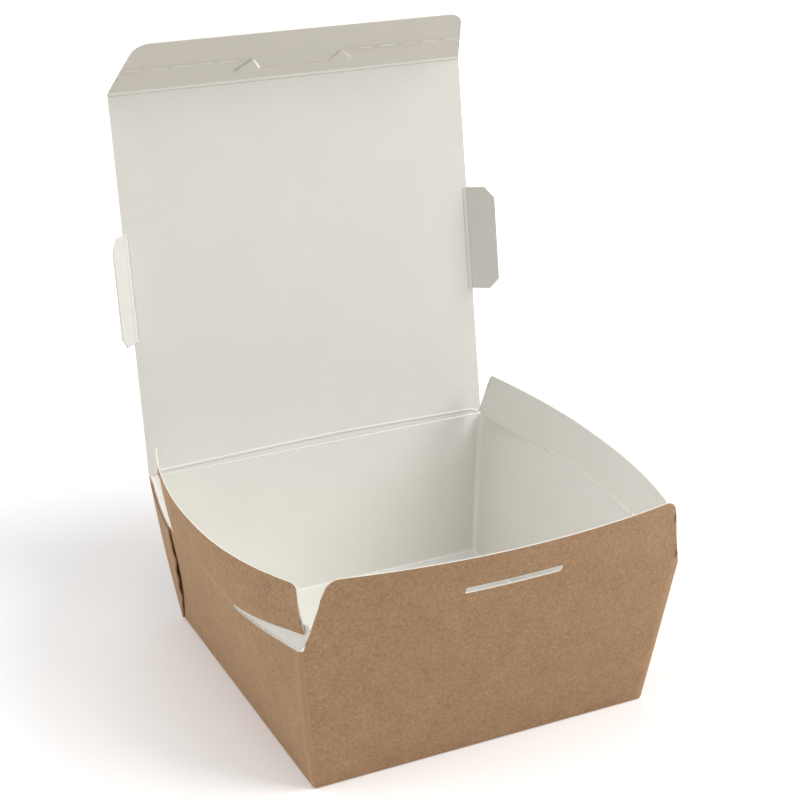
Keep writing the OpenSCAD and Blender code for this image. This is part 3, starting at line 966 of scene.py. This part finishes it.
class BOX_OT_front_flap(bpy.types.Operator):
    """Makes the lid's front flap: first strip, outer strip with the lock tongue, and creases"""
    bl_idname = "takeaway_box.front_flap"
    bl_label = "Front flap"

    def execute(self, context):
        board, lid = context.scene.box_board, context.scene.box_lid
        self.strip(board, lid)
        self.tuck(board, lid)
        self.creases(board, lid)
        return {"FINISHED"}

    def strip(self, board, lid):
        """The first strip, whose outline runs round the tongue's cut and the relief slits beside it."""
        v, wide = lid.strip, lid.tongue / 2 + CUT
        deep, narrow = v - lid.tongue_depth, lid.tongue / 2 - lid.tongue_taper
        near_half, fold_half = flap_half(lid, v), flap_half(lid, 0)
        # each slit opens from its tip to the crease
        tip, blunt = v - lid.tongue_depth * 0.86, v - lid.tongue_depth * 0.85
        right = [(wide + 0.0005, v), (wide + SLIT + 0.0003, blunt), (wide + SLIT, tip)]
        left = [(-x, y) for x, y in right[::-1]]
        outline = [(-fold_half, -STRIP_LEAD), (fold_half, -STRIP_LEAD), (fold_half, 0), (near_half, v)]
        outline += right + tongue_loop(lid, CUT)[::-1] + left + [(-near_half, v), (-fold_half, 0)]
        columns = np.arange(-ROW_REACH, ROW_REACH + 0.0001, 0.0012)
        lines = [[(x, y) for x in columns] for y in np.arange(-0.00105, 0.0013, ROW_STEP)]
        # the cuts' edges, dark where they face away from the light and pale where they face it
        dark = [((-wide, v), (-wide - SLIT, tip)), ((wide, v), (narrow, deep))]
        pale = [((wide, v), (wide + SLIT, tip)), ((-wide, v), (-narrow, deep)),
                ((-narrow, deep), (narrow, deep))]
        for a, b in dark + pale:
            lines += beside(a, b, (0.0004, 0.0008))
        flat, triangles = panel([outline], board.step, lines)
        # painted shade: a dark line just below the fold's bead, and a fainter one along the crease to the
        # outer strip
        folds = -0.8 * bump_line(flat[:, 1] + 0.00075, 0.0002) - 0.25 * bump_line(flat[:, 1] - v, 0.0003)
        for cuts, tone in ((dark, -1.7), (pale, 1.3)):
            for a, b in cuts:
                folds += tone * bump_line(line_gap(flat, a, b), 0.0005)
        strip = board_piece("front_strip_board", strip_points(lid, flat), triangles[:, ::-1], board,
                            folds)
        start, along, _ = lid_axes(lid)
        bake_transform(strip)
        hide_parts("front_strip")

    def tuck(self, board, lid):
        """The outer strip with the tongue."""
        v, far, root, gap = lid.strip, lid.strip + lid.tuck, lid.tongue / 2, 0.00005
        near_half, far_half = flap_half(lid, v), flap_half(lid, far)
        outline = rounded([(root, v, 0), (near_half, v + gap, 0), (far_half, far, lid.corner),
                           (-far_half, far, lid.corner), (-near_half, v + gap, 0), (-root, v, 0)])
        flat, triangles = panel([outline + tongue_loop(lid, 0)[1:-1]], board.step)
        # painted shade along the crease to the first strip, beside the tongue
        folds = -0.25 * bump_line(flat[:, 1] - v, 0.0003) * (np.abs(flat[:, 0]) > root)
        tuck = board_piece("tuck_strip_board", strip_points(lid, flat), triangles[:, ::-1], board, folds)
        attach(tuck, "tuck_strip")
        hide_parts("tuck_strip")

    def creases(self, board, lid):
        """The raised bead along the fold, and the dashes along the half cut crease."""
        half, v = flap_half(lid, 0) - 0.0004, lid.strip
        out, across = tilted(lid.angle + lid.strip_bend / 2)[1], np.linspace(-half, half, 60)
        row = np.stack([across, across * 0 - 0.00015], 1)
        points = strip_points(lid, row) + out * board.thickness / 2
        # the bead's pale colour, fold value 1.0, is a painted highlight
        bead = grown("fold_bead", points, bpy.data.node_groups["crease_bead"], 1.0,
                     Width=0.0008, Height=0.00022, Facing=tuple(out))
        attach(bead, "lid")
        lean, tree = lid.angle + lid.strip_bend, dash_tree()
        out = tilted(lean)[1]
        ends = lid.tongue / 2 + SLIT + 0.005, flap_half(lid, v) - 0.004
        for side, name in ((-1, "left_dashes"), (1, "right_dashes")):
            row = np.array([(side * x, v - 0.0003) for x in ends])
            points = strip_points(lid, row) + out * board.thickness / 2
            dashes = grown(name, points, tree, 1.0, Pitch=0.0082, Length=0.0078, Width=0.0008,
                           Height=0.00024, Turn=(lean, 0, 0), Seed=4 + side)
            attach(dashes, "front_strip")


class BOX_OT_ears(bpy.types.Operator):
    """Makes the two small ears on the lid's sides"""
    bl_idname = "takeaway_box.ears"
    bl_label = "Ears"

    def execute(self, context):
        board, lid = context.scene.box_board, context.scene.box_lid
        start, along, _ = lid_axes(lid)
        # board before the bend, the two creases that share the bend, and the length of their arcs
        lead, first, second, arc = 0.0020, 0.0007, 0.0023, 0.0006
        deep, cut, length = lid.ear_depth + lead, lid.ear_cut, lid.ear_length
        outline = [(0, 0), (deep - cut, 0), (deep, cut), (deep, length - cut), (deep - cut, length),
                   (0, length)]
        rows = [[(x, y) for y in np.arange(0.0004, length, 0.0012)]
                for x in np.arange(0.0002, 0.0028, ROW_STEP)]
        flat, triangles = panel([outline], board.step * 0.6, rows)
        turn, run = lid.ear_bend / 2, flat[:, 0]
        u, w = bent(run, [(first, turn, arc), (second, turn, arc)])
        # painted shade in the two creases with a painted highlight on the ridge between them
        folds = 0.6 * bump_line(run - (first + second) / 2, 0.0004)
        folds -= 1.1 * bump_line(run - first, 0.0002) + 0.8 * bump_line(run - second, 0.0002)
        for side, name in ((-1, "left_ear"), (1, "right_ear")):
            root = lid.width / 2 - lid.ear_inset
            points = on_lid(lid, side * (root + u), lid.ear_from + flat[:, 1], w)
            faces = triangles if side < 0 else triangles[:, ::-1]
            piece = board_piece(name + "_board", points, faces, board, folds)
            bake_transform(piece)
            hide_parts(name)
        return {"FINISHED"}


# floor, room, lights and camera

class BOX_OT_stage(bpy.types.Operator):
    """Makes the floor, the lights and the camera"""
    bl_idname = "takeaway_box.stage"
    bl_label = "Stage"

    def execute(self, context):
        scene = context.scene
        stage = scene.box_stage
        self.floor(stage)
        self.room(scene, stage)
        for name, place, width, power in (("key_light", (0.9, -0.7, 1.1), 1.0, stage.key),
                                          ("side_light", (-1.2, 0.5, 0.6), 0.9, stage.side),
                                          ("top_light", (0.0, -0.1, 1.5), 1.0, stage.top)):
            light = bpy.data.lights.new(name, "AREA")
            light.size, light.energy = width, power
            lamp = linked(name, light)
            lamp.location = place
            aim = Vector((0, 0, 0.08)) - Vector(place)
            lamp.rotation_euler = aim.to_track_quat("-Z", "Y").to_euler()
        camera = bpy.data.cameras.new("camera")
        camera.sensor_width, camera.lens = 36, stage.lens
        scene.camera = linked("camera", camera)
        view = Matrix.Translation(Vector(stage.place))
        for turn, axis in ((stage.azimuth, "Z"), (math.pi / 2 - stage.elevation, "X"), (stage.roll, "Z")):
            view = view @ Matrix.Rotation(turn, 4, axis)
        scene.camera.matrix_world = view
        scene.view_settings.view_transform = "Standard"
        return {"FINISHED"}

    def floor(self, stage):
        """A wide floor with its own colour for light, drawn paler, and white away from the box."""
        reach, near_edge, fade = 6, 0.15, 1.2
        mesh, material = bpy.data.meshes.new("floor"), bpy.data.materials.new("floor_paint")
        corners = [(-reach, -reach, 0), (reach, -reach, 0), (reach, reach, 0), (-reach, reach, 0)]
        mesh.from_pydata(corners, [], [(0, 1, 2, 3)])
        s = Shader(material)
        seen = s.seen()
        s.give(Base_Color=s.mix(seen, tuple(stage.floor), (1, 1, 1)), Roughness=0.9, Specular_IOR_Level=0,
               Emission_Color=(1, 1, 1))
        place, length = s.add("ShaderNodeTexCoord"), s.add("ShaderNodeVectorMath", operation="LENGTH")
        s.join(place.outputs["Object"], length.inputs[0])
        far = s.maths("MULTIPLY", s.maths("SUBTRACT", length.outputs["Value"], near_edge), fade)
        pale = s.maths("ADD", s.maths("MINIMUM", s.maths("MAXIMUM", far), 1.0), stage.glow)
        s.give(Emission_Strength=s.maths("MULTIPLY", seen, pale))
        mesh.materials.append(material)
        floor = linked("floor", mesh)

    def room(self, scene, stage):
        """A room that is white to look at and gives an even, weaker light."""
        scene.world = bpy.data.worlds.new("room")
        s = Shader(scene.world, "Background")
        strength = s.maths("MULTIPLY", s.seen(), 1 - stage.fill)
        s.give(Color=(1, 1, 1), Strength=s.maths("ADD", strength, stage.fill))


class BOX_PT_panel(bpy.types.Panel):
    """Sidebar panel with the steps that make the box"""
    bl_idname = "BOX_PT_panel"
    bl_label = "Takeaway box"
    bl_space_type = "VIEW_3D"
    bl_region_type = "UI"
    bl_category = "Takeaway box"

    def draw(self, context):
        layout = self.layout
        for operator in OPERATORS:
            layout.operator(operator.bl_idname)
        for name in SETTINGS:
            box = layout.box()
            group = getattr(context.scene, name)
            for key in group.__annotations__:
                box.prop(group, key)


SETTINGS = {"box_board": BoardSettings, "box_tray": TraySettings, "box_flap": FlapSettings,
            "box_lid": LidSettings, "box_stage": StageSettings}
OPERATORS = [BOX_OT_stage, BOX_OT_tray, BOX_OT_webs, BOX_OT_side_flaps, BOX_OT_lid, BOX_OT_front_flap,
             BOX_OT_ears]


def register():
    for group in [*SETTINGS.values(), *OPERATORS, BOX_PT_panel]:
        bpy.utils.register_class(group)
    for name, group in SETTINGS.items():
        setattr(bpy.types.Scene, name, bpy.props.PointerProperty(type=group))


def unregister():
    for name in SETTINGS:
        delattr(bpy.types.Scene, name)
    for group in [BOX_PT_panel, *OPERATORS, *SETTINGS.values()]:
        bpy.utils.unregister_class(group)


def main():
    register()
    for operator in OPERATORS:
        name = operator.bl_idname.split(".")[1]
        getattr(bpy.ops.takeaway_box, name)()


if __name__ == "__main__":
    main()
